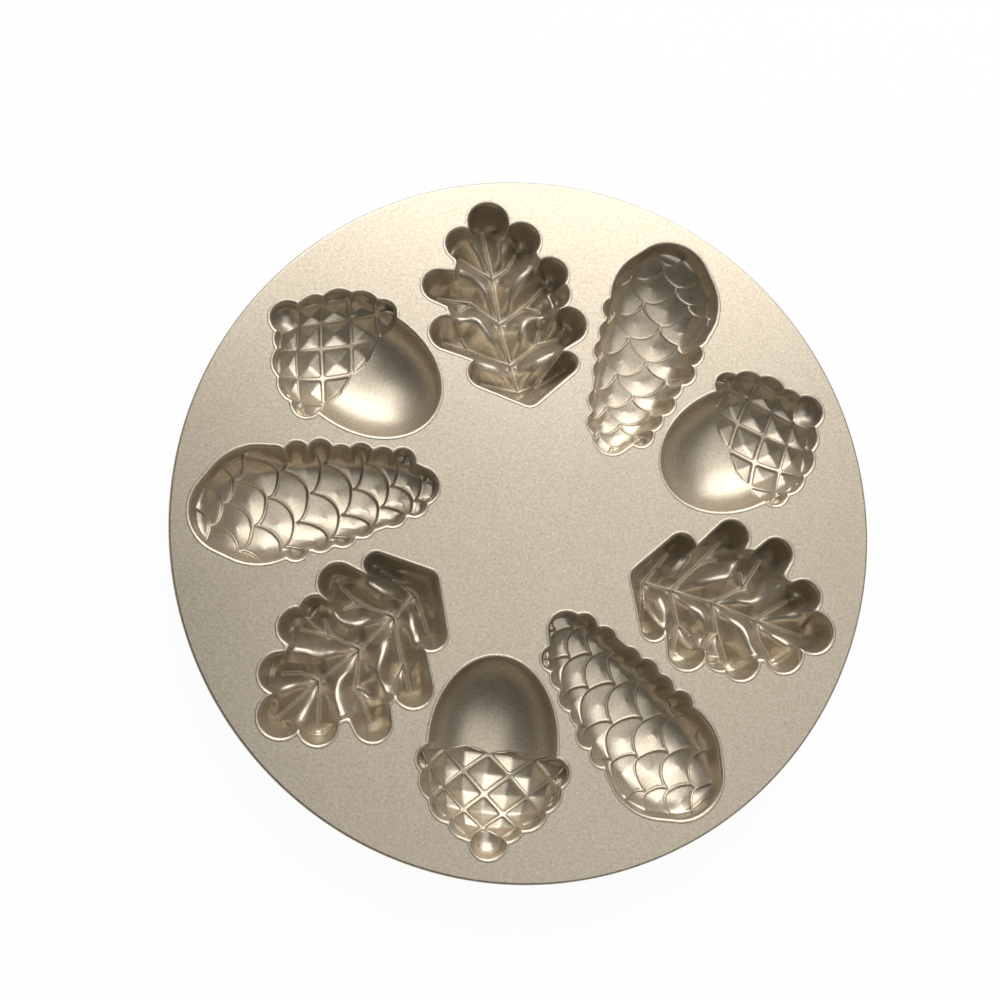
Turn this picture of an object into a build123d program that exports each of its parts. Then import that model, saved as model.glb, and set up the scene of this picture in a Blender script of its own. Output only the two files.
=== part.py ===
from build123d import *
import os
from math import acos, atan2, ceil, cos, hypot, pi, radians, sin, sqrt, tan

# Nine-cup cakelet pan in cast aluminium: a round deck with three oak leaf cups, three acorn
# cups and three pinecone cups set round it. Z = 0 is the plane that the cups stand on, the
# Z axis runs through the middle of the deck, and +Y is the far side of the pan.

# Overall sizes, in millimetres
pan_diameter = 330.0
height = 27.0
deck_thickness = 3.0
wall = 2.8
rim_chamfer = 0.9
copies = 3

# The cups' places and plans below are drawn for this diameter, and follow the pan's in proportion
drawn_diameter = 330.0
plan = pan_diameter / drawn_diameter

# Places of the three cup designs: middle of the cup, and the turn of its own +Y axis
leaf_place = (-12.6, 102.2)
leaf_turn = 7.0
cone_place = (57.5, 84.3)
cone_turn = -28.0
acorn_place = (102.2, 38.1)
acorn_turn = -68.0

# Leaf cup: depth of its floor, and the slope of its wall and of the cove above the floor
leaf_floor = 20.5
leaf_draft = 8.0
leaf_cove = 2.5
leaf_cove_slope = 45.0
vein_height = 1.3
vein_width = 2.4

# Leaf lobes, each round a circle at its root and one at its end: x, y, radius at the deck
leaf_lobes = {
    "tip": ((-1.5, 22.0, 7.0), (-2.6, 41.7, 9.5)),
    "right_1": ((-0.5, 16.0, 7.5), (12.5, 31.5, 8.6)),
    "left_1": ((-1.0, 16.0, 7.5), (-16.3, 31.8, 7.8)),
    "right_2a": ((0.5, -3.0, 9.0), (24.3, 13.4, 8.0)),
    "right_2b": ((2.0, -4.0, 8.0), (24.8, 3.2, 7.0)),
    "left_2a": ((-3.0, 2.5, 12.5), (-30.3, 12.2, 7.4)),
    "left_2b": ((-2.0, -4.0, 8.0), (-20.0, 2.5, 7.0)),
    "right_3": ((4.0, -24.0, 9.0), (29.3, -12.6, 8.5)),
    "left_3": ((1.0, -24.0, 9.0), (-29.2, -11.2, 7.8)),
    "right_4": ((6.0, -44.5, 5.2), (25.8, -31.2, 5.2)),
    "left_4": ((6.0, -44.5, 5.2), (-14.5, -32.0, 6.6)),
    "body_top": ((0.0, 20.0, 8.0), (0.5, -8.0, 10.0)),
    "body_foot": ((0.5, -8.0, 10.0), (3.0, -34.0, 12.0)),
}

# Leaf webs: corners at the notches between the lobes, where the webs start a little below the deck
# and slope down towards the midrib, and how far in they are drawn at the two levels
leaf_notches = (
    (-12.5, 39.0),
    (7.0, 38.8),
    (19.5, 22.5),
    (26.0, -4.5),
    (25.0, -25.5),
    (9.5, -46.5),
    (6.0, -48.5),
    (-17.5, -26.0),
    (-26.5, -3.5),
    (-20.5, 23.0),
)
leaf_middle = (1.0, -6.0)
web_depth = 7.0
web_share = 0.965
web_foot_depth = 18.0
web_foot_share = 0.4

# Leaf veins, as runs of points on the floor from the midrib outwards
leaf_veins = (
    ((4.5, -39.0), (2.5, -25.0), (0.0, -3.5), (-0.5, 20.0), (-2.5, 44.0)),
    ((-0.5, 20.0), (-7.4, 25.0), (-15.5, 31.5)),
    ((-0.5, 20.0), (7.5, 24.5), (12.0, 31.0)),
    ((0.0, -3.5), (-13.0, 8.5), (-29.0, 12.0)),
    ((-13.0, 8.5), (-19.0, 5.0)),
    ((0.0, -3.5), (13.0, 4.0), (23.0, 12.5)),
    ((13.0, 4.0), (20.5, 1.5)),
    ((2.5, -25.0), (-14.6, -16.5), (-29.0, -10.5)),
    ((2.5, -25.0), (17.0, -15.5), (28.0, -13.5)),
    ((4.5, -39.0), (-13.0, -33.0)),
    ((4.5, -39.0), (13.0, -36.5), (22.0, -33.0)),
)

# Acorn nut: an egg with its round end in the cap and its tip outwards, its axis above the deck
acorn_axis_lean = 3.7
acorn_axis_x = 2.2
nut_axis_height = 9.8
nut_radius = 30.2
nut_half_length = 40.7
nut_middle_y = -4.0
nut_in_cap = 12.0
nut_bands = 6
nut_last_turn = 83.0

# Acorn cap: a dome of four-sided pockets on a diamond lattice, and the stalk's round pocket
cap_axis_height = 14.0
cap_radius = 34.8
cap_length = 43.5
cap_power = 2.4
cap_x = 1.0
cap_turn = 18.2
cap_columns = 4
cap_rows = (-0.8, 1.7, 10.7, 20.0, 27.8, 33.6, 38.5, 42.5)
cap_row_bend = (0.0, 0.0, 0.22, 0.45, 0.45, 0.45, 0.45, 0.45)
pocket_relief = 1.8
cap_border_drop = 1.0
cap_middle_y = 2.0
cap_lobes = ((27.6, 5.6, 6.4), (22.6, 14.4, 8.6), (16.8, 22.4, 8.8), (8.6, 29.8, 7.4))
cap_draft = 6.0
cap_bands = 4
stalk = (-1.0, 38.0, 7.4)
stalk_depth = 8.0
stalk_root = 8.0

# Pinecone: its line, its half-width at the deck, and its axis above the deck
cone_lean = -0.086
cone_x = -0.6
cone_half_width = 27.3
cone_middle_y = 12.0
cone_top_length = 41.7
cone_tip_length = 69.5
cone_top_power = 2.4
cone_tip_power = 1.55
cone_axis_height = 4.2
cone_axis_slope = 0.06
cone_bands = 4

# Pinecone edge: smooth round the broad end, scalloped down both sides, one scale at the tip
edge_lean = -0.115
edge_x = 0.3
edge_tip_length = 76.0
edge_tip_power = 1.17
cone_collar = ((-4.5, 34.5, 19.6), (-2.3, 24.0, 26.4))
cone_tip = (4.3, -48.9, 8.6)
cone_spine = (24.0, -4.0, -30.0)
cone_back = (24.0, -4.0, -30.0, -41.3)
cone_edge_depth = 7.5
cone_draft = 8.0
notch_depth = 2.6
scallop_radius = 5.2

# Rounds of the pinecone's edge down each side: y, and how far each swings out or in
scallops_right = (
    (27.0, 0.5),
    (17.2, -1.8),
    (7.0, -0.6),
    (-3.5, 0.6),
    (-13.0, -1.6),
    (-22.0, 0.0),
    (-32.0, -0.6),
    (-41.3, 0.6),
)
scallops_left = (
    (8.0, 0.2),
    (-3.0, -0.5),
    (-13.0, 0.5),
    (-22.0, -0.5),
    (-36.0, 0.3),
    (-46.0, 0.3),
)

# Pinecone scales: rows by where they cross the middle, columns as shares of the half-width
scale_rows = (64.0, 44.5, 26.0, 6.5, -14.3, -32.2, -47.5, -62.0)
scale_columns = (-1.75, -1.2, -0.72, -0.27, 0.235, 0.7, 1.15, 1.7)
scale_width_ends = (-40.0, 40.0)
scale_fall = 0.5
scale_tuck = 0.9
scale_step = 2.0
scale_slope = 0.4
scale_crown = 1.7
scale_edge_flats = 3

# Outside of the cups: slope of their skirts, and how far the pinecones' rounds would reach past
# the plane that cuts them flat
under_draft = 12.0
land_cut = 1.5

# Round stretches are made of flats: how far one leaves the true round inside and outside a cup
inner_sag = 0.52
outer_sag = 1.0
egg_sides = 16
egg_last_turn = 84.0

# How far the blocks that cut or carry a relief reach past what they meet
past = 20.0


def on_circle(x, y, radius, angle):
    return (x + radius * cos(angle), y + radius * sin(angle))


def arc_points(circle, first, last, sag):
    """Points on a circle from one angle to another, close enough for its flats to sag that little."""
    x, y, radius = circle
    count = max(1, ceil(abs(last - first) / (2 * acos(1 - sag / radius))))
    step = (last - first) / count
    return [on_circle(x, y, radius, first + step * k) for k in range(count + 1)]


def round_both(first, second, grow=0.0, sag=inner_sag):
    """Outline round two circles, each x, y and radius, with the tangents that join them."""
    ax, ay, ar = (plan * value for value in first)
    bx, by, br = (plan * value for value in second)
    near = (ax, ay, ar + grow)
    far = (bx, by, br + grow)
    heading = atan2(by - ay, bx - ax)
    spread = acos((ar - br) / hypot(bx - ax, by - ay))
    points = arc_points(far, heading - spread, heading + spread, sag)
    points += arc_points(near, heading + spread, heading + 2 * pi - spread, sag)
    return make_face(Polyline(*points, close=True))


def sunk(face, first, last, draft):
    """Drafted solid of a face between two depths. Depth runs along +Z in every hollow here."""
    return extrude(Pos(0, 0, first) * face, amount=last - first, taper=draft)


def slab(low, high):
    """Block as wide as the pan between two levels."""
    return Pos(0, 0, (low + high) / 2) * Box(pan_diameter, pan_diameter, high - low)


def join(pieces):
    return pieces[0].fuse(*pieces[1:])


def flat_face(points):
    return Face(Wire.make_polygon(points, close=True))


def around(points):
    """Each point with the one that follows it, the last with the first."""
    return zip(points, points[1:] + points[:1])


def in_plan(x, y, depth):
    """Point at a place drawn for the drawn diameter, and at a depth that doesn't follow it."""
    return Vector(plan * x, plan * y, depth)


def stacked(rings):
    """Solid through rings of corners, each joined to the next by flats."""
    faces = [flat_face(rings[0]), flat_face(rings[-1])]
    for ring, following in zip(rings, rings[1:]):
        for side in range(len(ring)):
            other = (side + 1) % len(ring)
            faces.append(flat_face([ring[side], ring[other], following[other], following[side]]))
    return Solid(Shell(faces))


def ringed(sections):
    """Egg-like solid through many-sided sections square to Y, each y, x, depth of centre, radius."""
    rings = []
    for y, x, depth, radius in sections:
        turns = [2 * pi * side / egg_sides for side in range(egg_sides)]
        rings.append([in_plan(x + radius * cos(turn), y, depth + radius * sin(turn)) for turn in turns])
    return stacked(rings)


def corner(point):
    return (round(point.X, 4), round(point.Y, 4), round(point.Z, 4))


def raised(point):
    return Vector(point.X, point.Y, -past)


def over_relief(flats):
    """Block between a relief of three-cornered flats and a level above the deck."""
    border = {}
    for points in flats:
        for first, second in around(points):
            if border.pop((corner(second), corner(first)), None) is None:
                border[(corner(first), corner(second))] = (first, second)
    faces = [flat_face(points) for points in flats]
    for first, second in border.values():
        faces.append(flat_face([first, second, raised(second), raised(first)]))
    following = {key[0]: ends for key, ends in border.items()}
    start = next(iter(following))
    loop = [following[start][0]]
    while corner(following[corner(loop[-1])][1]) != start:
        loop.append(following[corner(loop[-1])][1])
    faces.append(flat_face([raised(point) for point in loop]))
    return Solid(Shell(faces))


def web_ring(depth, share, grow=0.0):
    """Corners of the leaf's webs at a depth, drawn in to a share and then grown by a distance."""
    middle_x, middle_y = leaf_middle
    corners = []
    for x, y in leaf_notches:
        corners.append(Vector(middle_x + share * (x - middle_x), middle_y + share * (y - middle_y)) * plan)
    ring = []
    for before, here, after in zip(corners[-1:] + corners[:-1], corners, corners[1:] + corners[:1]):
        first = Vector(before.Y - here.Y, here.X - before.X).normalized()
        second = Vector(here.Y - after.Y, after.X - here.X).normalized()
        moved = here + (first + second) * (grow / (1 + first.dot(second)))
        ring.append(Vector(moved.X, moved.Y, depth))
    return ring


def leaf_hollow():
    """Space of a leaf cup: drafted lobes with a cove above the floor and webs, less the veins."""
    cove_top = leaf_floor - leaf_cove
    drawn_in = cove_top * tan(radians(leaf_draft))
    lobes = []
    for root, end in leaf_lobes.values():
        lobes.append(sunk(round_both(root, end), 0, cove_top, leaf_draft))
        lobes.append(sunk(round_both(root, end, -drawn_in), cove_top, leaf_floor, leaf_cove_slope))
    levels = ((0.0, 1.0), (web_depth, web_share), (web_foot_depth, web_foot_share))
    lobes.append(stacked([web_ring(depth, share) for depth, share in levels]))
    hollow = join(lobes)
    for run in leaf_veins:
        for start, end in zip(run, run[1:]):
            hollow -= vein(start, end)
    return hollow


def vein(start, end):
    """Ridge of three-sided section along one straight run of a vein."""
    origin = in_plan(*start, 0)
    along_x = plan * (end[0] - start[0])
    along_y = plan * (end[1] - start[1])
    half = vein_width / 2
    crest = leaf_floor - vein_height
    section = make_face(Polyline((-half, leaf_floor), (half, leaf_floor), (0, crest), close=True))
    across = Plane(origin=origin, x_dir=(-along_y, along_x, 0), z_dir=(along_x, along_y, 0))
    return extrude(across * section, amount=hypot(along_x, along_y))


def leaf_outside():
    lobes = []
    for root, end in leaf_lobes.values():
        lobes.append(sunk(round_both(root, end, wall, outer_sag), 0, leaf_floor + wall, under_draft))
    rings = [web_ring(0.0, 1.0, wall), web_ring(web_depth + wall, 1.0, wall / 4)]
    rings.append(web_ring(web_foot_depth + wall, web_foot_share, wall / 4))
    lobes.append(stacked(rings))
    return join(lobes)


def nut_section(y, grow):
    share = (y - nut_middle_y) / (nut_half_length + grow)
    radius = (nut_radius + grow) * sqrt(max(0.0, 1 - share * share))
    return (y, 0.0, -nut_axis_height, radius)


def nut(grow):
    """Egg of the nut from a little inside the cap to its tip."""
    sections = [nut_section(nut_middle_y + nut_in_cap, grow)]
    for band in range(nut_bands + 1):
        turn = radians(nut_last_turn * band / nut_bands)
        sections.append(nut_section(nut_middle_y - (nut_half_length + grow) * sin(turn), grow))
    return Pos(plan * acorn_axis_x, 0, 0) * Rot(0, 0, acorn_axis_lean) * ringed(sections)


def cap_radius_at(y, grow):
    share = min(max(y, 0.0) / (cap_length + grow), 1.0)
    return (cap_radius + grow) * sqrt(1 - share ** cap_power)


def cap_point(column, row, deeper):
    """Point of the cap's diamond lattice, with a depth below its dome."""
    y = cap_rows[row + 1] - cap_row_bend[row + 1] * column * column
    radius = cap_radius_at(y, 0.0)
    angle = radians(cap_turn * column)
    depth = radius * cos(angle) - cap_axis_height
    return in_plan(cap_x + radius * sin(angle), y, depth + deeper)


def cap_corner(column, row):
    return cap_point(column, row, cap_border_drop if row < 0 else 0.0)


def cap_relief():
    """Flats of the cap's pockets, four to each."""
    flats = []
    for row in range(len(cap_rows) - 2):
        for column in range(-cap_columns, cap_columns + 1):
            if (row + column) % 2 == 0:
                continue
            sides = ((column - 1, row), (column, row - 1), (column + 1, row), (column, row + 1))
            apex = cap_point(column, row, pocket_relief)
            for first, second in around([cap_corner(*side) for side in sides]):
                flats.append([first, second, apex])
    return flats


def cap_edge():
    """Scalloped space inside the edge of the cap, straight down from the deck."""
    pieces = []
    for side in (-1, 1):
        for across, y, radius in cap_lobes:
            middle = (cap_x, y + cap_middle_y, radius)
            end = (cap_x + side * across, y, radius)
            pieces.append(sunk(round_both(middle, end), 0, height, cap_draft))
    return join(pieces)


def stalk_outline(grow, sag):
    x, y, radius = stalk
    return round_both((x, y - stalk_root, radius), stalk, grow, sag)


def acorn_hollow():
    """Space of an acorn cup: the nut's egg, the cap's pockets and the stalk."""
    cap = cap_edge() & over_relief(cap_relief())
    knob = sunk(stalk_outline(0.0, inner_sag), 0, stalk_depth, cap_draft)
    return (nut(0.0) & slab(0, height)).fuse(cap, knob)


def acorn_outside():
    sections = []
    for band in range(cap_bands + 1):
        y = (cap_length + wall) * sin(radians(egg_last_turn * band / cap_bands))
        sections.append((y, cap_x, -cap_axis_height, cap_radius_at(y, wall) + pocket_relief))
    brim = (-wall, *sections[0][1:])
    knob = sunk(stalk_outline(wall, outer_sag), 0, stalk_depth + wall, under_draft)
    return ringed([brim] + sections).fuse(nut(wall), knob)


def half_width(y, grow, tip_length, tip_power):
    if y > cone_middle_y:
        share = (y - cone_middle_y) / (cone_top_length + grow)
        power = cone_top_power
    else:
        share = (cone_middle_y - y) / (tip_length + grow)
        power = tip_power
    return (cone_half_width + grow) * sqrt(1 - min(share, 1.0) ** power)


def cone_width(y, grow=0.0):
    """Half-width of the pinecone's body at the deck, at a distance along it."""
    return half_width(y, grow, cone_tip_length, cone_tip_power)


def edge_width(y):
    """Half-width of the pinecone's edge, which is fuller at the tip than its body."""
    return half_width(y, 0.0, edge_tip_length, edge_tip_power)


def cone_rise(y):
    return cone_axis_height + cone_axis_slope * y


def cone_line(y):
    return cone_x + cone_lean * y


def edge_line(y):
    return edge_x + edge_lean * y


def cone_depth(x, y):
    """Depth of the pinecone's body at a place in plan, no less than at its edge."""
    radius = hypot(cone_width(y), cone_rise(y))
    across = min(abs(x - cone_line(y)), radius)
    return max(sqrt(radius * radius - across * across) - cone_rise(y), cone_edge_depth)


def scale_place(row, column):
    """Free point of a scale in plan, the lowest one of its round edge."""
    y = scale_rows[row]
    lowest, highest = scale_width_ends
    across = scale_columns[column] * cone_width(min(max(y, lowest), highest))
    return (cone_line(y) + across, y - scale_fall * across)


def scale_edge(row, column, side, own):
    """Points along one half of a scale's edge: its own, or those of the scales under it."""
    x, y = scale_place(row, column)
    end_x, end_y = scale_place(row, column - 1) if side < 0 else scale_place(row - 1, column + 1)
    points = []
    for part in range(scale_edge_flats + 1):
        turn = pi / 2 * part / scale_edge_flats
        inset = scale_slope * cos(turn) if own else 0.0
        step = scale_step * cos(turn) if own else 0.0
        place_x = x + (end_x - x) * sin(turn) - side * inset * sin(turn)
        place_y = y + (end_y - y) * (1 - cos(turn)) + inset * cos(turn)
        depth = cone_depth(place_x, place_y) - scale_tuck + step
        points.append(in_plan(place_x, place_y, depth))
    return points


def scale_flats(row, column):
    """Flats of one scale, in a fan round its middle."""
    right = scale_edge(row, column, 1, True)
    left = scale_edge(row, column, -1, True)
    over_right = scale_edge(row - 1, column + 1, -1, False)
    over_left = scale_edge(row, column - 1, 1, False)
    edge = right[:-1] + over_right[:-1] + over_left[:0:-1] + left[:0:-1]
    corners = (right[0], right[0], right[0], right[0], right[0], right[-1], left[-1], over_right[-1])
    middle_x = sum(point.X for point in corners) / len(corners) / plan
    middle_y = sum(point.Y for point in corners) / len(corners) / plan
    middle = in_plan(middle_x, middle_y, cone_depth(middle_x, middle_y) - scale_tuck + scale_crown)
    return [[first, second, middle] for first, second in around(edge)]


def step_flats(row, column, side):
    """Flats of the step from one half of a scale's edge to the scale under it."""
    own = scale_edge(row, column, side, True)
    under = scale_edge(row, column, side, False)
    flats = []
    for part in range(scale_edge_flats):
        upper = [own[part], own[part + 1], under[part]]
        lower = [own[part + 1], under[part + 1], under[part]]
        for flat in (upper, lower)[:1 if part == scale_edge_flats - 1 else 2]:
            flats.append(flat if side < 0 else flat[::-1])
    return flats


def cone_relief():
    """Flats of all the scales and of the steps between them."""
    last_row = len(scale_rows) - 1
    last_column = len(scale_columns) - 2
    flats = []
    for row in range(1, last_row + 1):
        for column in range(1, last_column + 1):
            flats += scale_flats(row, column)
            if column < last_column:
                flats += step_flats(row, column, 1)
            if row < last_row and column > 1:
                flats += step_flats(row, column, -1)
    return flats


def spine_circle(y):
    return (edge_line(y), y, edge_width(y))


def cone_hulls(spine, grow, depth, draft, sag):
    """Straight-sided lengths of the pinecone's outline, from the broad end to the tip."""
    circles = [spine_circle(y) for y in spine] + [cone_tip]
    lengths = zip(circles, circles[1:])
    return [sunk(round_both(first, second, grow, sag), 0, depth, draft) for first, second in lengths]


def scallop(y, side, swing):
    """Space of one round of the scalloped edge, from the edge's own line outwards."""
    reach = edge_width(y) + swing - scallop_radius
    root = (edge_line(y), y, scallop_radius)
    end = (edge_line(y) + side * reach, y, scallop_radius)
    return sunk(round_both(root, end), 0, height, cone_draft)


def cone_hollow():
    """Space of a pinecone cup: its scalloped edge, down to the relief of its scales."""
    pieces = cone_hulls(cone_spine, -notch_depth, height, cone_draft, inner_sag)
    pieces.append(sunk(round_both(*cone_collar), 0, height, cone_draft))
    pieces += [scallop(y, 1, swing) for y, swing in scallops_right]
    pieces += [scallop(y, -1, swing) for y, swing in scallops_left]
    return join(pieces) & over_relief(cone_relief())


def cone_outside():
    """Egg below the scales, deep enough to be cut flat for a land, with a skirt that backs the edge."""
    sections = []
    for band in range(-cone_bands, cone_bands + 1):
        share = sin(radians(egg_last_turn * band / cone_bands))
        length = cone_top_length if band > 0 else cone_tip_length
        y = cone_middle_y + share * (length + wall)
        radius = hypot(cone_width(y, wall), cone_rise(y)) + scale_step - scale_tuck
        sections.append((y, cone_line(y), land_cut - cone_rise(y), radius))
    skirt_depth = cone_edge_depth + scale_step + wall
    skirt_wall = wall + max(swing for y, swing in scallops_right + scallops_left)
    skirt = cone_hulls(cone_back, skirt_wall, skirt_depth, under_draft, outer_sag)
    skirt.append(sunk(round_both(*cone_collar, wall, outer_sag), 0, skirt_depth, under_draft))
    return ringed(sections).fuse(*skirt)


def hang(shape, place, turn):
    """Shape drawn with depth along +Z, set under the deck's face at its place."""
    return Pos(plan * place[0], plan * place[1], height) * Rot(0, 0, turn) * mirror(shape, about=Plane.XY)


def repeated(shape, copy):
    return Rot(0, 0, 360 / copies * copy) * shape


def round_plate():
    """Deck before its openings, a disc with both edges of its rim broken."""
    plate = Pos(0, 0, height - deck_thickness / 2) * Cylinder(pan_diameter / 2, deck_thickness)
    return chamfer(plate.edges().filter_by(GeomType.CIRCLE), rim_chamfer)


def build():
    leaf_space = hang(leaf_hollow(), leaf_place, leaf_turn)
    cone_space = hang(cone_hollow(), cone_place, cone_turn)
    acorn_space = hang(acorn_hollow(), acorn_place, acorn_turn)
    under_deck = slab(0, height - deck_thickness)
    leaf_metal = hang(leaf_outside(), leaf_place, leaf_turn) & under_deck
    cone_metal = hang(cone_outside(), cone_place, cone_turn) & under_deck
    acorn_metal = hang(acorn_outside(), acorn_place, acorn_turn) & under_deck
    # Where two cups stand close, one ends where the other begins
    cone_metal -= acorn_metal
    leaf_metal -= cone_metal.fuse(repeated(acorn_metal, 1))
    designs = (
        ("leaf_cup", leaf_space, leaf_metal, ("top", "left", "right")),
        ("pinecone_cup", cone_space, cone_metal, ("top", "left", "bottom")),
        ("acorn_cup", acorn_space, acorn_metal, ("right", "left", "bottom")),
    )
    os.makedirs("parts", exist_ok=True)
    deck = round_plate()
    for name, space, metal, sides in designs:
        mouth = space & slab(height - deck_thickness, height)
        cup = metal - space
        for copy, side in enumerate(sides):
            deck -= repeated(mouth, copy)
            export_step(repeated(cup, copy), f"parts/{name}_{side}.step")
    export_step(deck, "parts/deck.step")


if __name__ == "__main__":
    build()
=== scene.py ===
import math

import bmesh
import bpy
import numpy as np
from mathutils import Matrix, Vector


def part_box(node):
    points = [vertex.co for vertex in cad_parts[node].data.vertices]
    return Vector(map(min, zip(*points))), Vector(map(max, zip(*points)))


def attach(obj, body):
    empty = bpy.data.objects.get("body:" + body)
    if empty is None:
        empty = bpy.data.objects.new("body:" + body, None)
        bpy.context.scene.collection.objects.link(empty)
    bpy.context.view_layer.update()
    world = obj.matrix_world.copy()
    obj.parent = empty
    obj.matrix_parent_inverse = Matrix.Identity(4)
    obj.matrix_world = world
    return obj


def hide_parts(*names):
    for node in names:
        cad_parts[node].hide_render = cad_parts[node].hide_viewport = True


# Cakelet pan in cast aluminium with a champagne non-stick coating.
# A round deck holds nine cups: three oak leaves, three acorns and three pinecones.
# Lengths are in millimetres until a mesh is placed.
# Every cup is drawn on its own plan, +Y towards its top, with depths below the deck's face.
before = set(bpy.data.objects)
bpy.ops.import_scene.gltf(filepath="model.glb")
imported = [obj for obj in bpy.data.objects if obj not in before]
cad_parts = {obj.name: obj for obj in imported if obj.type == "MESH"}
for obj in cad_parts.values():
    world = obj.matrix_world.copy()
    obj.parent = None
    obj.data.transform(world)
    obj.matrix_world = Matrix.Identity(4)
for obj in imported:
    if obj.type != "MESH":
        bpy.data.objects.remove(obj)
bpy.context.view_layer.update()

mm = 0.001
copies = 3
deck_low, deck_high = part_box("deck")
deck_top = deck_high.z / mm
deck_thickness = (deck_high.z - deck_low.z) / mm
pan_radius = min(-deck_low.x, deck_high.x, -deck_low.y, deck_high.y) / mm
rim_round = 1.3

# Fineness of the meshes: inside of the cups, their outside, and the rim
inside_step = 0.28
outside_step = 1.0
rim_segments = 360
rim_round_segments = 8

# Places of the three cup designs: middle, turn in degrees, half the size of the plan
leaf_place = (-12.6, 102.2)
leaf_turn = 7.0
leaf_half = (44, 57)
cone_place = (57.5, 84.3)
cone_turn = -28.0
cone_half = (36, 64)
acorn_place = (102.2, 38.1)
acorn_turn = -68.0
acorn_half = (42, 52)

# Casting: lip round every cup, its wall, and how the skirts underneath leave the deck
lip_round = 1.6
lip_border = 1.8
wall = 2.8
skirt_round = 1.8
skirt_draft = 12.0
skirt_border = 5.0
skirt_gap = 0.05
skirt_margin = 4
acorn_skirt_least = 0.5
cove_power = 4.0
under_power = 5.0

# Leaf: its floor and notches
leaf_floor = 20.6
leaf_draft = 8.0
leaf_notch_round = 2.0
web_corner_round = 3.0

# Leaf swells: how the floor rises away from the veins in the lobes and in the webs between them
shoulder = (0.7, 5.0)
lobe_shoulder = 2.3
web_shoulder = 3.6
lobe_swell = 1.8
web_swell = 9.0
web_power = 1.6
web_reach = (-5.5, -0.5)
swell_width = 8.0
swell_limit = 9.2
swell_knee = 2
crest_round = 5.0
vein_reach = 30.0

# Leaf veins: a thin ridge in a groove, which fades towards the cup's edge
vein_height = 1.3
vein_half = 0.75
groove_depth = 0.7
groove_half = 2.4
vein_fade = (8.0, 13.0)

# Leaf lobes, each round a circle at its root and one at its end: x, y, radius at the deck
leaf_lobes = {
    "tip": ((-1.5, 22.0, 7.0), (-2.6, 41.7, 9.5)),
    "right_1": ((-0.5, 16.0, 7.5), (12.5, 31.5, 8.6)),
    "left_1": ((-1.0, 16.0, 7.5), (-16.3, 31.8, 7.8)),
    "right_2a": ((0.5, -3.0, 9.0), (24.3, 13.4, 8.0)),
    "right_2b": ((2.0, -4.0, 8.0), (24.8, 3.2, 7.0)),
    "left_2a": ((-3.0, 2.5, 12.5), (-30.3, 12.2, 7.4)),
    "left_2b": ((-2.0, -4.0, 8.0), (-20.0, 2.5, 7.0)),
    "right_3": ((4.0, -24.0, 9.0), (29.3, -12.6, 8.5)),
    "left_3": ((1.0, -24.0, 9.0), (-29.2, -11.2, 7.8)),
    "right_4": ((6.0, -44.5, 5.2), (25.8, -31.2, 5.2)),
    "left_4": ((6.0, -44.5, 5.2), (-14.5, -32.0, 6.6)),
    "body_top": ((0.0, 20.0, 8.0), (0.5, -8.0, 10.0)),
    "body_foot": ((0.5, -8.0, 10.0), (3.0, -34.0, 12.0)),
}

# Corners of the leaf's webs, at the notches between the lobes
leaf_notches = (
    (-12.5, 39.0),
    (7.0, 38.8),
    (19.5, 22.5),
    (26.0, -4.5),
    (25.0, -25.5),
    (9.5, -46.5),
    (6.0, -48.5),
    (-17.5, -26.0),
    (-26.5, -3.5),
    (-20.5, 23.0),
)

# Leaf veins, as runs of points on the floor from the midrib outwards
leaf_veins = (
    ((4.5, -39.0), (2.5, -25.0), (0.0, -3.5), (-0.5, 20.0), (-2.5, 44.0)),
    ((-0.5, 20.0), (-7.4, 25.0), (-15.5, 31.5)),
    ((-0.5, 20.0), (7.5, 24.5), (12.0, 31.0)),
    ((0.0, -3.5), (-13.0, 8.5), (-29.0, 12.0)),
    ((-13.0, 8.5), (-19.0, 5.0)),
    ((0.0, -3.5), (13.0, 4.0), (23.0, 12.5)),
    ((13.0, 4.0), (20.5, 1.5)),
    ((2.5, -25.0), (-14.6, -16.5), (-29.0, -10.5)),
    ((-17.5, -15.3), (-20.5, -9.5)),
    ((2.5, -25.0), (17.0, -15.5), (28.0, -13.5)),
    ((17.0, -15.5), (19.0, -9.0)),
    ((4.5, -39.0), (-13.0, -33.0)),
    ((4.5, -39.0), (13.0, -36.5), (22.0, -33.0)),
)

# Acorn nut: an egg whose axis lies above the deck
acorn_lean = 3.7
acorn_axis_x = 2.2
nut_axis_height = 9.8
nut_radius = 30.2
nut_half_length = 40.7
nut_middle_y = -4.0
nut_draft = 14.0
nut_grow = 1.0
nut_rise = 0.8
nut_fullness = 2.35

# Acorn cap: a dome whose axis lies above the deck, and its least depth
cap_axis_height = 14.0
cap_radius = 34.8
cap_length = 43.5
cap_power = 2.4
cap_fullness = 2.2
cap_x = 1.0
cap_floor = 4.0

# Acorn cap's pockets: four-sided, in rows along the dome and columns round it
cap_rows = (-0.8, 1.7, 10.7, 20.0, 27.8, 33.6, 38.5, 42.5)
cap_turn = 18.2
cap_bend = 0.45
column_limit = 0.98
pocket_relief = 2.2
pocket_step = 0.9
pocket_round = 0.12
pocket_flat = 0.05
pocket_half = 0.45
ridge_half = (0.035, 0.1)

# Acorn cap's border: how steeply cap and nut end there, and how the pockets fade towards it
cap_border_slope = 4.0
nut_border_slope = 2.5
border_relief = 0.3
border_slope = 2.0

# Acorn cap's edge: its rounds on both sides, as distance from the middle, y, radius
cap_middle_y = 2.0
cap_lobes = ((27.6, 5.6, 6.4), (22.6, 14.4, 8.6), (16.8, 22.4, 8.8), (8.6, 29.8, 7.4))
cap_draft = 6.0
cap_notch_round = 0.8

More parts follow.
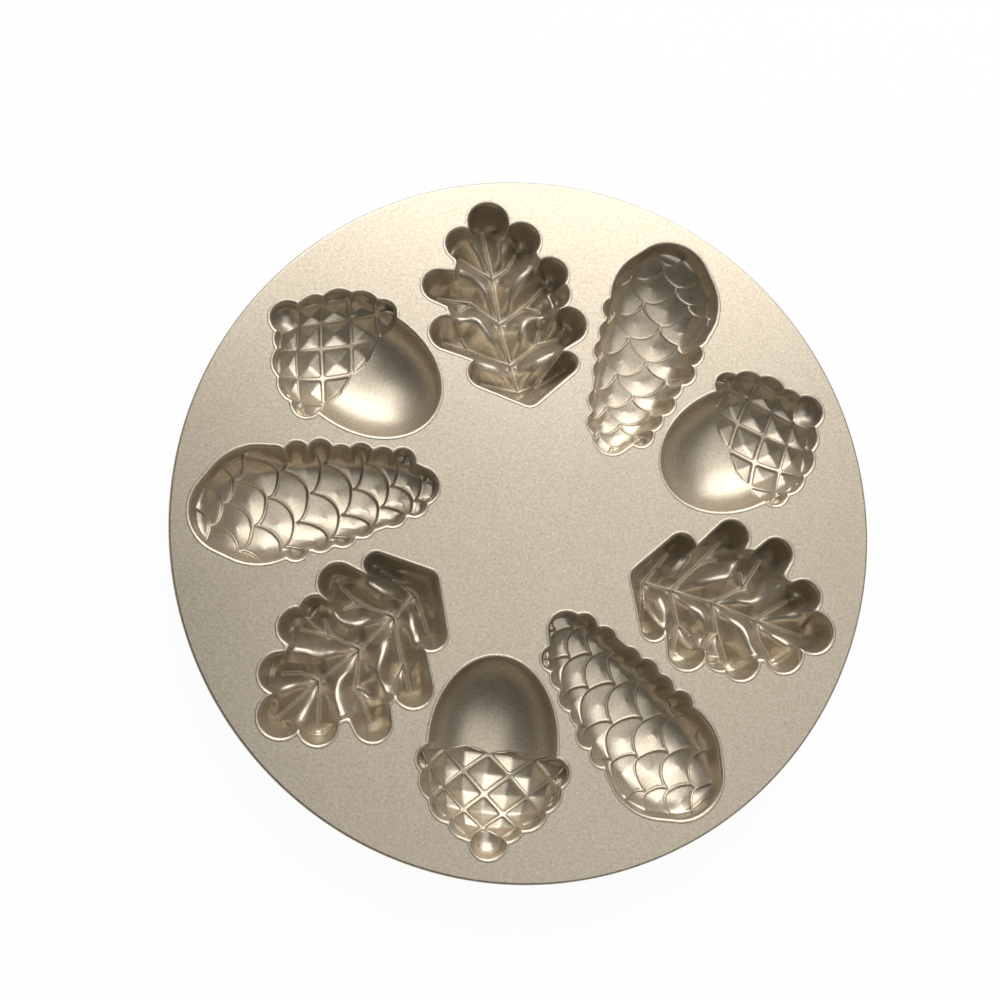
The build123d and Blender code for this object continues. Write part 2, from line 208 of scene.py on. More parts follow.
# Acorn stalk: a round pocket at x, y, radius, which runs back under the cap
stalk = (-1.0, 38.0, 7.4)
stalk_depth = 9.5
stalk_bowl = 4.5
stalk_root = 8.0

# Pinecone: its line, its half-width at the deck, and its axis above the deck
cone_lean = -0.086
cone_x = -0.6
cone_half_width = 27.3
cone_middle_y = 12.0
cone_top_length = 41.7
cone_tip_length = 69.5
cone_top_power = 2.4
cone_tip_power = 1.55
cone_axis_height = 4.2
cone_axis_slope = 0.06
cone_fullness = 2.6
cone_floor = 3.0
cone_cove_power = 8.0

# Pinecone edge: smooth round the broad end, scalloped down both sides, one scale at the tip
edge_lean = -0.115
edge_x = 0.3
edge_tip_length = 76.0
edge_tip_power = 1.17
cone_collar = ((-4.5, 34.5, 19.6), (-2.3, 24.0, 26.4))
cone_tip = (4.3, -48.9, 8.6)
tip_notch = 0.2
cone_spine = (24.0, -4.0, -30.0)
cone_edge_depth = 7.5
cone_edge_round = 2.5
cone_draft = 8.0
cone_notch_round = 0.7
notch_depth = 2.6
scallop_radius = 5.2

# Rounds of the pinecone's edge down each side: y, and how far each swings out or in
scallops_right = (
    (27.0, 0.5),
    (17.2, -1.8),
    (7.0, -0.6),
    (-3.5, 0.6),
    (-13.0, -1.6),
    (-22.0, 0.0),
    (-32.0, -0.6),
    (-41.3, 0.6),
)
scallops_left = (
    (8.0, 0.2),
    (-3.0, -0.5),
    (-13.0, 0.5),
    (-22.0, -0.5),
    (-36.0, 0.3),
    (-46.0, 0.3),
)

# Pinecone scales: rows by where they cross the middle, columns as shares of the half-width
scale_rows = (64.0, 44.5, 26.0, 6.5, -14.3, -32.2, -47.5, -62.0)
scale_columns = (-1.75, -1.2, -0.72, -0.27, 0.235, 0.7, 1.15, 1.7)
scale_width_ends = (-40.0, 40.0)
scale_fall = 0.5

# Pinecone scales: how each steps over the next, is dished, and ends in a bead
scale_apex = (0.1, 0.45, 1.0)
scale_step = 2.6
scale_edge_slope = 2.6
scale_lip = 1.6
scale_crown = 1.5
scale_bead = 0.4
scale_bead_half = 0.9
scale_base = -0.6
scale_rise = 0.5

# Camera: how the deck's face lies before it, as a turn and a shift, and its lens
image_width = 1000
focal_pixels = 1100
camera_turn = (-0.15179, 0.14331, -0.00143)
camera_shift = (15.766, -7.808, -512.305)
sensor_width = 36.0

# Coating: its noises from fine to coarse, and its two colours
flake_noise = {"Scale": 1500, "Detail": 2.0, "Roughness": 0.6}
grain_noise = {"Scale": 700, "Detail": 2.0, "Roughness": 0.5}
cloud_noise = {"Scale": 18, "Detail": 3.0, "Roughness": 0.5}
coating_dark = (0.36, 0.30, 0.215, 1)
coating_light = (0.63, 0.555, 0.44, 1)

# Coating: what each noise does to the colour, the roughness and the bump
flake_tint = 1.3
grain_tint = 0.8
cloud_tint = 0.2
tint_base = 0.65
coating_rough = 0.33
grain_rough = 0.08
cloud_rough = 0.05
flake_bump = 0.6
bump_strength = 0.12
bump_distance = 0.0002

# Coating: how metallic it is, and its clear layer
coating_metallic = 0.82
clear_weight = 0.5
clear_rough = 0.3

# Floor: half its side in metres, its paint, and how much of it shows as an even white
floor_half = 3.0
floor_colour = (0.80, 0.80, 0.79, 1)
floor_glow = 0.96

# Room: its plain light, the share of its white that gloss reflects, and its colour
room_light = 0.02
room_gloss = 0.05
room_colour = (0.96, 0.97, 0.98, 1)

# Lamps aimed at the deck: name, place and size in metres, power in watts
lamps = (
    ("window", (0.12, 1.28, 1.07), (2.2, 1.5), 42.0),
    ("ceiling", (0.4, -0.1, 1.5), (1.6, 1.5), 8.0),
)

# Distance that stands for far from every edge, and least values that are safe to divide by
far_off = 1e3
least_share = 1e-4
least_steep = 1e-6
least_depth = 0.01
least_inside = 0.05
least_radius = 0.1
least_width = 1.0

# Cutting a cup's edge: rounds, the small move that measures its slope, the least slope squared
border_rounds = 3
small_move = 0.01
least_slope = 0.25

# Joining: how near two corners are one, as digits of a metre, and how near a face is level
corner_digits = 6
level_slack = 0.01


def tapered(x, y, near, far):
    """Distance inside the strip round two circles, negative outside it."""
    ax, ay, ar = near
    bx, by, br = far
    length = math.hypot(bx - ax, by - ay)
    ux, uy = (bx - ax) / length, (by - ay) / length
    along = (x - ax) * ux + (y - ay) * uy
    across = np.abs((y - ay) * ux - (x - ax) * uy)
    lean = (ar - br) / length
    square = math.sqrt(1 - lean * lean)
    place = along * square - across * lean
    side = ar - (across * square + along * lean)
    start = ar - np.hypot(across, along)
    end = br - np.hypot(across, along - length)
    return np.where(place < 0, start, np.where(place > square * length, end, side))


def in_ellipse(x, y, half_x, half_y):
    """Distance inside an ellipse, close to true near its edge."""
    share = np.maximum(np.hypot(x / half_x, y / half_y), least_share)
    steep = np.maximum(np.hypot(x / half_x ** 2, y / half_y ** 2), least_steep)
    return (1 - share) * share / steep


def round_max(first, second, reach):
    """Larger of two fields, with the crease between them rounded."""
    share = np.clip(0.5 + 0.5 * (first - second) / reach, 0, 1)
    return second + (first - second) * share + reach * share * (1 - share)


def lower_of(steep, floor, power):
    """Depth of a wall that runs into a floor, with a cove between them."""
    floor = np.maximum(floor, least_depth)
    return steep / (1 + (steep / floor) ** power) ** (1 / power)


def ease(value, low, high):
    """Share from 0 at the low value to 1 at the high one, level at both ends."""
    share = np.clip((value - low) / (high - low), 0, 1)
    return share * share * (3 - 2 * share)


def drop(inside, round_radius, draft):
    """Depth at a distance inside an edge: a rounded lip, then a straight drafted wall."""
    lean = math.radians(90 - draft)
    run = inside + round_radius * math.tan(lean / 2)
    end = round_radius * math.sin(lean)
    curved = round_radius - np.sqrt(round_radius ** 2 - np.clip(run, 0, end) ** 2)
    straight = round_radius * (1 - math.cos(lean)) + (run - end) * math.tan(lean)
    return np.where(run < end, curved, straight)


def to_run(x, y, points):
    """Distance to a run of straight lines."""
    nearest = np.full(x.shape, far_off)
    for (ax, ay), (bx, by) in zip(points, points[1:]):
        length = math.hypot(bx - ax, by - ay)
        ux, uy = (bx - ax) / length, (by - ay) / length
        along = np.clip((x - ax) * ux + (y - ay) * uy, 0, length)
        nearest = np.minimum(nearest, np.hypot(x - ax - along * ux, y - ay - along * uy))
    return nearest


def in_webs(x, y):
    """Distance inside the polygon through the leaf's notches, negative outside it."""
    outside = np.full(x.shape, -far_off)
    for (ax, ay), (bx, by) in zip(leaf_notches, leaf_notches[1:] + leaf_notches[:1]):
        across = (y - ay) * (bx - ax) - (x - ax) * (by - ay)
        outside = round_max(outside, across / math.hypot(bx - ax, by - ay), web_corner_round)
    return -outside


def leaf_inside(x, y):
    """Distance inside the leaf's edge at the deck, negative outside it."""
    inside = np.full(x.shape, -far_off)
    for root, end in leaf_lobes.values():
        inside = np.maximum(inside, tapered(x, y, root, end))
    return round_max(inside, in_webs(x, y), leaf_notch_round)


def leaf_swells(x, y):
    """How far the floor stands up away from the veins, more in the webs than in the lobes."""
    away = np.full(x.shape, vein_reach)
    for run in leaf_veins:
        away = -round_max(-away, -to_run(x, y, run), crest_round)
    below_limit = np.logaddexp(0, swell_knee * (swell_limit - away)) / swell_knee
    away = np.maximum(swell_limit - below_limit, 0)
    share = away / swell_width
    side = ease(away, *shoulder)
    webs = ease(in_webs(x, y), *web_reach)
    in_lobes = lobe_shoulder * side + lobe_swell * share ** 2
    return in_lobes * (1 - webs) + (web_shoulder * side + web_swell * share ** web_power) * webs


def leaf_depth(x, y):
    """Inside of a leaf cup: swells between the veins, and a thin ridge in a groove along each."""
    inside = leaf_inside(x, y)
    floor = leaf_floor - leaf_swells(x, y)
    depth = lower_of(drop(inside, lip_round, leaf_draft), floor, cove_power)
    away = np.full(x.shape, far_off)
    for run in leaf_veins:
        away = np.minimum(away, to_run(x, y, run))
    groove = groove_depth * (1 - ease(away, 0, groove_half))
    ridge = (groove_depth + vein_height) * (1 - ease(away, 0, vein_half))
    return depth + (groove - ridge) * ease(depth, *vein_fade)


def leaf_under(x, y):
    """Outside of a leaf cup: the floor's swells without the veins, a wall lower."""
    inside = leaf_inside(x, y) + wall
    floor = leaf_floor + wall - leaf_swells(x, y)
    return lower_of(deck_thickness + drop(inside, skirt_round, skirt_draft), floor, under_power)


def on_nut_axis(x, y):
    """Place across and along the axis of the acorn's nut, from its middle."""
    lean = math.radians(acorn_lean)
    across = (x - acorn_axis_x) * math.cos(lean) + y * math.sin(lean)
    along = y * math.cos(lean) - (x - acorn_axis_x) * math.sin(lean)
    return across, along - nut_middle_y


def nut_inside(x, y):
    """Distance inside the nut's edge at the deck, where the egg is cut above its axis."""
    across, along = on_nut_axis(x, y)
    share = math.sqrt(1 - (nut_axis_height / nut_radius) ** 2)
    return in_ellipse(across, along, nut_radius * share, nut_half_length * share)


def nut_depth(x, y, grow):
    """Depth of the nut's egg, grown by a distance all round."""
    across, along = on_nut_axis(x, y)
    section = np.sqrt(np.clip(1 - (along / (nut_half_length + grow)) ** 2, 0, 1))
    radius = (nut_radius + grow) * section
    share = np.clip(np.abs(across) / np.maximum(radius, least_radius), 0, 1)
    return radius * (1 - share ** nut_fullness) ** (1 / nut_fullness) - nut_axis_height


def cap_width(y, grow=0.0):
    """Radius of the cap's dome at a distance along it."""
    share = np.clip(np.maximum(y, 0) / (cap_length + grow), 0, 1)
    return (cap_radius + grow) * np.sqrt(1 - share ** cap_power)


def cap_inside(x, y):
    """Distance inside the cap's scalloped edge, negative outside it."""
    inside = np.full(x.shape, -far_off)
    for side in (-1, 1):
        for across, lobe_y, radius in cap_lobes:
            middle = (cap_x, lobe_y + cap_middle_y, radius)
            end = (cap_x + side * across, lobe_y, radius)
            inside = round_max(inside, tapered(x, y, middle, end), cap_notch_round)
    return inside


def stalk_inside(x, y):
    """Distance inside the stalk's round, negative outside it."""
    middle_x, middle_y, radius = stalk
    return tapered(x, y, (middle_x, middle_y - stalk_root, radius), stalk)


def acorn_inside(x, y):
    """Distance inside the edge of nut, cap and stalk together, negative outside it."""
    inside = round_max(nut_inside(x, y), cap_inside(x, y), cap_notch_round)
    return round_max(inside, stalk_inside(x, y), cap_notch_round)


def cap_pockets(x, y):
    """Depth of the cap's pockets below its dome, and how far a place is past its border."""
    share = np.clip((x - cap_x) / np.maximum(cap_width(y), least_width), -column_limit, column_limit)
    column = np.degrees(np.arcsin(share)) / cap_turn
    bend = cap_bend * np.interp(y, (cap_rows[1], cap_rows[3]), (0.0, 1.0)) * column ** 2
    row = np.interp(y + bend, cap_rows, np.arange(-1, len(cap_rows) - 1))
    rising = (row - column) / 2
    falling = (row + column) / 2
    off_rising = np.abs(rising - np.round(rising))
    off_falling = np.abs(falling - np.round(falling))
    off = -round_max(-off_rising, -off_falling, pocket_round)
    pyramid = pocket_relief * np.clip((off - pocket_flat) / pocket_half, 0, 1)
    relief = pocket_step * ease(off, *ridge_half) + pyramid
    scallop = np.abs(np.sin(column * math.pi / 2))
    past_border = y - cap_rows[1] - (cap_rows[0] - cap_rows[1]) * scallop
    at_border = border_relief + border_slope * np.maximum(past_border, 0)
    return np.minimum(relief, at_border), past_border


def acorn_depth(x, y):
    """Inside of an acorn cup: the nut's egg, the cap's pockets and the stalk."""
    in_nut = nut_inside(x, y)
    nut_floor = nut_depth(x, y, nut_grow) - nut_rise
    nut = lower_of(drop(in_nut, lip_round, nut_draft), nut_floor, cove_power)
    relief, past_border = cap_pockets(x, y)
    nut = nut - np.maximum(past_border, 0) * nut_border_slope
    width = cap_width(y)
    across = np.clip(np.abs(x - cap_x) / np.maximum(width, least_width), 0, 1)
    dome = width * (1 - across ** cap_fullness) ** (1 / cap_fullness) - cap_axis_height
    floor = np.maximum(dome, cap_floor) + relief
    inside = round_max(in_nut, cap_inside(x, y), cap_notch_round)
    cap = lower_of(drop(inside, lip_round, cap_draft), floor, cove_power)
    cap = cap + np.minimum(past_border, 0) * cap_border_slope
    in_stalk = stalk_inside(x, y)
    bowl = stalk_depth - stalk_bowl * np.clip(1 - in_stalk / stalk[2], 0, 1) ** 2
    knob = lower_of(drop(in_stalk, lip_round, cap_draft), bowl, cove_power)
    return np.maximum(np.maximum(nut, cap), knob)


def acorn_under(x, y):
    """Outside of an acorn cup: its egg and a smooth dome, grown by the wall, and the stalk."""
    inside = acorn_inside(x, y) + wall
    dome = np.sqrt(np.maximum(cap_width(y, wall) ** 2 - (x - cap_x) ** 2, 0)) - cap_axis_height
    dome = np.where(y > -wall, dome + pocket_relief, 0)
    knob = np.where(stalk_inside(x, y) > -wall, stalk_depth + wall, 0)
    knob = np.maximum(knob, deck_thickness + acorn_skirt_least)
    floor = np.maximum(np.maximum(nut_depth(x, y, wall), dome), knob)
    return lower_of(deck_thickness + drop(inside, skirt_round, skirt_draft), floor, under_power)


def cone_width(y, grow=0.0, tip_length=cone_tip_length, tip_power=cone_tip_power):
    """Half-width of the pinecone's body at the deck, at a distance along it."""
    top = np.clip((y - cone_middle_y) / (cone_top_length + grow), 0, 1) ** cone_top_power
    tip = np.clip((cone_middle_y - y) / (tip_length + grow), 0, 1) ** tip_power
    return (cone_half_width + grow) * np.sqrt(1 - np.where(y > cone_middle_y, top, tip))


def edge_width(y):
    """Half-width of the pinecone's edge, which is fuller at the tip than its body."""
    return float(cone_width(y, 0.0, edge_tip_length, edge_tip_power))


def edge_line(y):
    """Middle line of the pinecone's edge."""
    return edge_x + edge_lean * y


def cone_rise(y):
    """Height of the pinecone's axis above the deck."""
    return cone_axis_height + cone_axis_slope * y


def cone_line(y):
    """Middle line of the pinecone's body."""
    return cone_x + cone_lean * y


def cone_body(x, y, grow=0.0):
    """Depth of the pinecone's body at a place in plan, fuller at its sides than a circle."""
    radius = np.hypot(cone_width(y, grow), cone_rise(y))
    across = np.clip(np.abs(x - cone_line(y)) / radius, 0, 1)
    return radius * (1 - across ** cone_fullness) ** (1 / cone_fullness) - cone_rise(y)


def cone_inside(x, y):
    """Distance inside the pinecone's scalloped edge, negative outside it."""
    circles = []
    for spine_y in cone_spine:
        circles.append((edge_line(spine_y), spine_y, edge_width(spine_y) - notch_depth))
    tip_x, tip_y, tip_radius = cone_tip
    circles.append((tip_x, tip_y, tip_radius - notch_depth * tip_notch))
    inside = tapered(x, y, *cone_collar)
    for first, second in zip(circles, circles[1:]):
        inside = round_max(inside, tapered(x, y, first, second), cone_notch_round)
    for side, scallops in ((1, scallops_right), (-1, scallops_left)):
        for scallop_y, swing in scallops:
            reach = edge_width(scallop_y) + swing - scallop_radius
            root = (edge_line(scallop_y), scallop_y, scallop_radius)
            end = (edge_line(scallop_y) + side * reach, scallop_y, scallop_radius)
            inside = round_max(inside, tapered(x, y, root, end), cone_notch_round)
    return inside


def scale_place(row, column):
    """Free point of a scale in plan, the lowest one of its round edge."""
    y = scale_rows[row]
    lowest, highest = scale_width_ends
    across = scale_columns[column] * float(cone_width(min(max(y, lowest), highest)))
    return cone_line(y) + across, y - scale_fall * across


def in_scale(x, y, free, left, right):
    """Distance inside a scale's round lower edge, which rises from its free point to both ends."""
    fx, fy = free
    lx, ly = left
    rx, ry = right
    half = np.where(x > fx, rx - fx, fx - lx)
    rise = np.where(x > fx, ry - fy, ly - fy)
    middle_y = np.where(x > fx, ry, ly)
    below = np.minimum(y - middle_y, 0)
    return in_ellipse(x - fx, below, half, rise)


def scale_relief(x, y):
    """How far the scales lie below the pinecone's body, each over the one at its lower right."""
    apex_lean, apex_share, apex_lift = scale_apex
    layers = []
    for row in range(1, len(scale_rows)):
        for column in range(1, len(scale_columns) - 1):
            free = scale_place(row, column)
            left = scale_place(row, column - 1)
            right = scale_place(row - 1, column + 1)
            inside = in_scale(x, y, free, left, right)
            # The slope that steps down by one step both over the left edge and over the right one
            ax, ay = free[0] - left[0], free[1] - left[1]
            bx, by = right[0] - free[0], right[1] - free[1]
            det = ax * by - ay * bx
            slope_x = (-by - ay) / det
            slope_y = (ax + bx) / det
            fall = 1 - (x - free[0]) * slope_x - (y - free[1]) * slope_y
            apex_x = free[0] + apex_lean * (right[0] + left[0] - 2 * free[0])
            apex_y = free[1] + apex_share * (max(left[1], right[1]) - free[1]) + apex_lift
            radius = np.hypot(x - apex_x, y - apex_y)
            reach = radius / (radius + np.maximum(inside, least_inside))
            level = scale_step * fall + scale_crown * (1 - reach)
            layers.append((level, inside))
    best = np.full(x.shape, scale_base)
    for level, inside in layers:
        best = round_max(best, level + np.minimum(inside, 0) * scale_edge_slope, scale_lip)
    bead = np.zeros(x.shape)
    for level, inside in layers:
        ring = np.clip(1 - (inside / scale_bead_half + 1) ** 2, 0, 1) ** 2
        bead = np.maximum(bead, np.where(level > best, ring, 0))
    return best - scale_bead * bead - scale_rise


def cone_depth(x, y):
    """Inside of a pinecone cup: scalloped wall, then the scales."""
    edge_floor = np.full(x.shape, cone_edge_depth)
    floor = round_max(cone_body(x, y), edge_floor, cone_edge_round) + scale_relief(x, y)
    steep = drop(cone_inside(x, y), lip_round, cone_draft)
    return lower_of(steep, np.maximum(floor, cone_floor), cone_cove_power)


def cone_under(x, y):
    """Outside of a pinecone cup: its body grown by the wall, level where the pan stands."""
    inside = cone_inside(x, y) + wall
    floor = np.maximum(cone_body(x, y, wall) + scale_step, cone_edge_depth + wall + scale_step)
    depth = lower_of(deck_thickness + drop(inside, skirt_round, skirt_draft), floor, under_power)
    return np.minimum(depth, deck_top)


def plan_of(verts):
    """Places of vertices in plan, as all their x and all their y."""
    places = np.array([vert.co for vert in verts], float)
    return places[:, 0], places[:, 1]


def sheet(mesh, half_x, half_y, step, border, inside, depth):
    """Grid over a cup's plan, cut at a distance outside its edge and sunk to its depth."""
    size = Matrix.Diagonal((half_x, half_y, 1, 1))
    columns = round(2 * half_x / step)
    rows = round(2 * half_y / step)
    made = bmesh.ops.create_grid(mesh, x_segments=columns, y_segments=rows, size=1, matrix=size)
    verts = made["verts"]
    outside = inside(*plan_of(verts)) < -border
    dropped = [vert for vert, out in zip(verts, outside) if out]
    bmesh.ops.delete(mesh, geom=dropped, context="VERTS")
    verts = [vert for vert in verts if vert.is_valid]
    # The cut edge is drawn onto the border line itself
    edge = [vert for vert in verts if vert.is_boundary]
    x, y = plan_of(edge)
    for _ in range(border_rounds):
        here = inside(x, y)
        lean_x = (inside(x + small_move, y) - here) / small_move
        lean_y = (inside(x, y + small_move) - here) / small_move
        square = np.maximum(lean_x ** 2 + lean_y ** 2, least_slope)
        x = x - (here + border) * lean_x / square
        y = y - (here + border) * lean_y / square
    for vert, new_x, new_y in zip(edge, x, y):
        vert.co.x, vert.co.y = new_x, new_y
    x, y = plan_of(verts)
    for vert, level in zip(verts, deck_top - depth(x, y)):
        vert.co.z = level
    # Each line once, in the same order in every run
    lines = dict.fromkeys(line for vert in edge for line in vert.link_edges if line.is_boundary)
    return verts, list(lines)


def cup(half_x, half_y, inside, depth, under):
    """Closed shell of a cup: its inside with the lip, a flange under the deck, and its outside."""
    mesh = bmesh.new()
    _, lip = sheet(mesh, half_x, half_y, inside_step, lip_border, inside, depth)
    for vert in {vert for edge in lip for vert in edge.verts}:
        vert.co.z = deck_top
    flange_level = deck_top - deck_thickness - skirt_gap
    half_x, half_y = half_x + skirt_margin, half_y + skirt_margin
    outer, skirt = sheet(mesh, half_x, half_y, outside_step, skirt_border, inside, under)
    for vert in outer:
        vert.co.z = min(vert.co.z, flange_level)
    for vert in {vert for edge in skirt for vert in edge.verts}:
        vert.co.z = flange_level
    band = bmesh.ops.extrude_edge_only(mesh, edges=lip)["geom"]
    foot = [part for part in band if isinstance(part, bmesh.types.BMEdge) and part.is_boundary]
    for part in band:
        if isinstance(part, bmesh.types.BMVert):
            part.co.z = flange_level
    filled = bmesh.ops.triangle_fill(mesh, edges=foot + skirt, use_beauty=False, normal=(0, 0, 1))
    for face in mesh.faces:
        face.smooth = True
    for part in band + filled["geom"]:
        if isinstance(part, bmesh.types.BMFace):
            part.smooth = False
    bmesh.ops.recalc_face_normals(mesh, faces=mesh.faces)
    lip_lines = [[vert.co.copy() for vert in edge.verts] for edge in lip if edge.is_valid]
    return mesh, lip_lines


def on_pan(place, turn, copy):
    """From a cup's own plan in millimetres to its place on the pan in metres."""
    around = Matrix.Rotation(2 * math.pi * copy / copies, 4, "Z")
    there = Matrix.Translation((*place, 0)) @ Matrix.Rotation(math.radians(turn), 4, "Z")
    return Matrix.Scale(mm, 4) @ around @ there


def finish_piece(mesh, name, node, coating):
    """Coated piece of the root body that takes the place of one node."""
    data = bpy.data.meshes.new(name)
    mesh.to_mesh(data)
    data.materials.append(coating)
    piece = bpy.data.objects.new(name, data)
    bpy.context.scene.collection.objects.link(piece)
    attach(piece, "root")
    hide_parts(node)


def loop_edges(mesh, lines):
    """Edges of a closed line from the ends of each, with shared corners."""
    corners = {}
    edges = []
    for ends in lines:
        pair = []
        for place in ends:
            key = (round(place.x, corner_digits), round(place.y, corner_digits))
            if key not in corners:
                corners[key] = mesh.verts.new(place)
            pair.append(corners[key])
        # A line so short that both its ends are one corner is left out
        if pair[0] != pair[1]:
            edges.append(mesh.edges.new(pair))
    return edges


def deck(holes):
    """Disc with a rounded rim and the nine openings, a flat face above and below."""
    mesh = bmesh.new()
    low = deck_top - deck_thickness
    profile = []
    for level, first, last in ((deck_top - rim_round, 90, 0), (low + rim_round, 0, -90)):
        for part in range(rim_round_segments + 1):
            angle = math.radians(first + (last - first) * part / rim_round_segments)
            across = pan_radius - rim_round + rim_round * math.cos(angle)
            profile.append(mesh.verts.new((across, 0, level + rim_round * math.sin(angle))))
    line = [mesh.edges.new(pair) for pair in zip(profile, profile[1:])]
    bmesh.ops.spin(
        mesh, geom=profile + line, cent=(0, 0, 0), axis=(0, 0, 1), angle=2 * math.pi,
        steps=rim_segments, use_merge=True)
    for vert in mesh.verts:
        vert.co *= mm
    for face in mesh.faces:
        face.smooth = True
    rim = [edge for edge in mesh.edges if edge.is_boundary]
    upper = [edge for edge in rim if edge.verts[0].co.z > (deck_top - level_slack) * mm]
    lower = [edge for edge in rim if edge.verts[0].co.z < (low + level_slack) * mm]
    mouth = []
    for lines in holes:
        mouth += loop_edges(mesh, lines)
    sides = bmesh.ops.extrude_edge_only(mesh, edges=mouth)["geom"]
    for part in sides:
        if isinstance(part, bmesh.types.BMVert):
            part.co.z = low * mm
    foot = [part for part in sides if isinstance(part, bmesh.types.BMEdge) and part.is_boundary]
    bmesh.ops.triangle_fill(mesh, edges=upper + mouth, use_beauty=True, normal=(0, 0, 1))
    bmesh.ops.triangle_fill(mesh, edges=lower + foot, use_beauty=True, normal=(0, 0, -1))
    bmesh.ops.recalc_face_normals(mesh, faces=mesh.faces)
    return mesh


class Value:
    """A node's socket that Python can add, take away and multiply."""

    def __init__(self, shader, socket):
        self.shader = shader
        self.socket = socket

    def maths(self, operation, first, second):
        return self.shader.node("ShaderNodeMath", {"operation": operation}, {0: first, 1: second})

    def __add__(self, other):
        return self.maths("ADD", self, other)

    def __radd__(self, other):
        return self.maths("ADD", other, self)

    def __sub__(self, other):
        return self.maths("SUBTRACT", self, other)

    def __rsub__(self, other):
        return self.maths("SUBTRACT", other, self)

    def __mul__(self, other):
        return self.maths("MULTIPLY", self, other)

    def __rmul__(self, other):
        return self.maths("MULTIPLY", other, self)


class Shader:
    """Nodes of one material, or of the world."""

    def __init__(self, owner):
        owner.use_nodes = True
        self.tree = owner.node_tree
        self.tree.nodes.clear()

    def node(self, kind, settings=None, inputs=None, output=0):
        """New node with its settings first, then the values or links of its sockets."""
        made = self.tree.nodes.new(kind)
        for key, value in (settings or {}).items():
            setattr(made, key, value)
        for key, value in (inputs or {}).items():
            if isinstance(value, Value):
                self.tree.links.new(value.socket, made.inputs[key])
            else:
                made.inputs[key].default_value = value
        return Value(self, made.outputs[output])

    def ray(self, kind):
        return self.node("ShaderNodeLightPath", output=f"Is {kind} Ray")

    def mix(self, share, first, second):
        settings = {"data_type": "RGBA", "clamp_factor": True}
        return self.node("ShaderNodeMix", settings, {0: share, 6: first, 7: second}, 2)

    def surface(self, shader, output="ShaderNodeOutputMaterial"):
        self.tree.links.new(shader.socket, self.tree.nodes.new(output).inputs["Surface"])


def champagne_coating():
    """Satin non-stick coating with metallic flakes over the cast metal."""
    material = bpy.data.materials.new("champagne_coating")
    shader = Shader(material)
    place = shader.node("ShaderNodeTexCoord", output="Object")
    flakes, grain, cloud = (
        shader.node("ShaderNodeTexNoise", {}, {"Vector": place, **noise})
        for noise in (flake_noise, grain_noise, cloud_noise))
    share = flakes * flake_tint + grain * grain_tint + cloud * cloud_tint - tint_base
    colour = shader.mix(share, coating_dark, coating_light)
    rough = coating_rough + grain * grain_rough + cloud * cloud_rough
    height = flakes * flake_bump + grain
    bump = shader.node("ShaderNodeBump", {}, {
        "Strength": bump_strength, "Distance": bump_distance, "Height": height})
    shader.surface(shader.node("ShaderNodeBsdfPrincipled", {}, {
        "Base Color": colour, "Roughness": rough, "Metallic": coating_metallic, "Normal": bump,
        "Coat Weight": clear_weight, "Coat Roughness": clear_rough}))
    return material


def floor_paint():
    """White floor that the camera and reflections see at an even level, with the pan's shadow."""
    material = bpy.data.materials.new("white_floor")
    shader = Shader(material)
    seen = shader.ray("Camera") + shader.ray("Glossy") + shader.ray("Transmission")
    paint = shader.node("ShaderNodeBsdfDiffuse", {}, {"Color": floor_colour})
    glow = shader.node("ShaderNodeEmission", {}, {"Color": (1, 1, 1, 1), "Strength": 1.0})
    shader.surface(shader.node("ShaderNodeMixShader", {}, {0: seen * floor_glow, 1: paint, 2: glow}))
    return material


def room():
    """Dim room round the pan, white where the camera looks past the floor."""
    world = bpy.data.worlds.new("room")
    shader = Shader(world)
    seen = shader.ray("Camera") + shader.ray("Glossy") * room_gloss
    strength = room_light + seen * (1 - room_light)
    background = shader.node("ShaderNodeBackground", {}, {"Color": room_colour, "Strength": strength})
    shader.surface(background, "ShaderNodeOutputWorld")
    return world


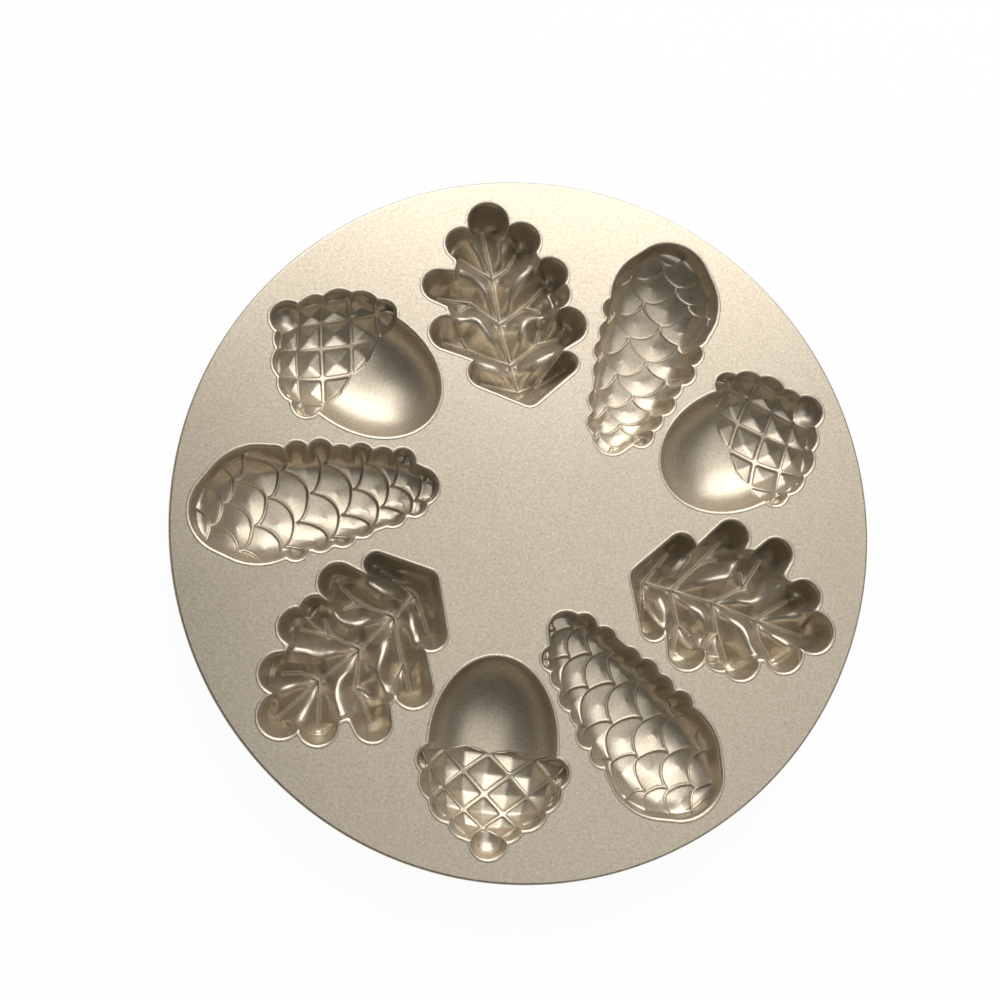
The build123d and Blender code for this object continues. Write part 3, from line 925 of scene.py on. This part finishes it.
def floor_and_light():
    """White floor as the stage, the lamps and the room."""
    mesh = bmesh.new()
    bmesh.ops.create_grid(mesh, x_segments=1, y_segments=1, size=floor_half)
    data = bpy.data.meshes.new("floor")
    mesh.to_mesh(data)
    data.materials.append(floor_paint())
    floor = bpy.data.objects.new("floor", data)
    bpy.context.scene.collection.objects.link(floor)
    for name, place, size, power in lamps:
        lamp = bpy.data.lights.new(name, "AREA")
        lamp.shape = "RECTANGLE"
        lamp.size, lamp.size_y = size
        lamp.energy = power
        holder = bpy.data.objects.new(name, lamp)
        aim = Vector((0, 0, deck_top * mm)) - Vector(place)
        turn = aim.to_track_quat("-Z", "Y").to_matrix().to_4x4()
        holder.matrix_world = Matrix.Translation(place) @ turn
        bpy.context.scene.collection.objects.link(holder)
    bpy.context.scene.world = room()


def set_camera():
    """Camera at the photograph's place, worked out from the deck's circle and the cups' places."""
    data = bpy.data.cameras.new("camera")
    data.sensor_width = sensor_width
    data.lens = focal_pixels / image_width * sensor_width
    data.clip_start = 0.01
    holder = bpy.data.objects.new("camera", data)
    axis = Vector(camera_turn)
    turn = Matrix.Rotation(axis.length, 4, axis.normalized())
    view = Matrix.Translation(Vector(camera_shift) * mm) @ turn
    holder.matrix_world = Matrix.Translation((0, 0, deck_top * mm)) @ view.inverted()
    bpy.context.scene.collection.objects.link(holder)
    bpy.context.scene.camera = holder


def build_pan():
    """Nine cups in three designs, and the deck with an opening over each."""
    coating = champagne_coating()
    designs = (
        ("leaf_cup", leaf_half, leaf_inside, leaf_depth, leaf_under, leaf_place, leaf_turn,
         ("top", "left", "right")),
        ("pinecone_cup", cone_half, cone_inside, cone_depth, cone_under, cone_place, cone_turn,
         ("top", "left", "bottom")),
        ("acorn_cup", acorn_half, acorn_inside, acorn_depth, acorn_under, acorn_place, acorn_turn,
         ("right", "left", "bottom")),
    )
    holes = []
    for name, half, inside, depth, under, place, turn, sides in designs:
        shell, lip_lines = cup(*half, inside, depth, under)
        for copy, side in enumerate(sides):
            there = on_pan(place, turn, copy)
            placed = shell.copy()
            bmesh.ops.transform(placed, matrix=there, verts=placed.verts)
            finish_piece(placed, f"{name}_{side}_casting", f"{name}_{side}", coating)
            placed.free()
            holes.append([[there @ corner for corner in ends] for ends in lip_lines])
        shell.free()
    finish_piece(deck(holes), "deck_casting", "deck", coating)


set_camera()
floor_and_light()
build_pan()
bpy.context.scene.view_settings.view_transform = "Standard"
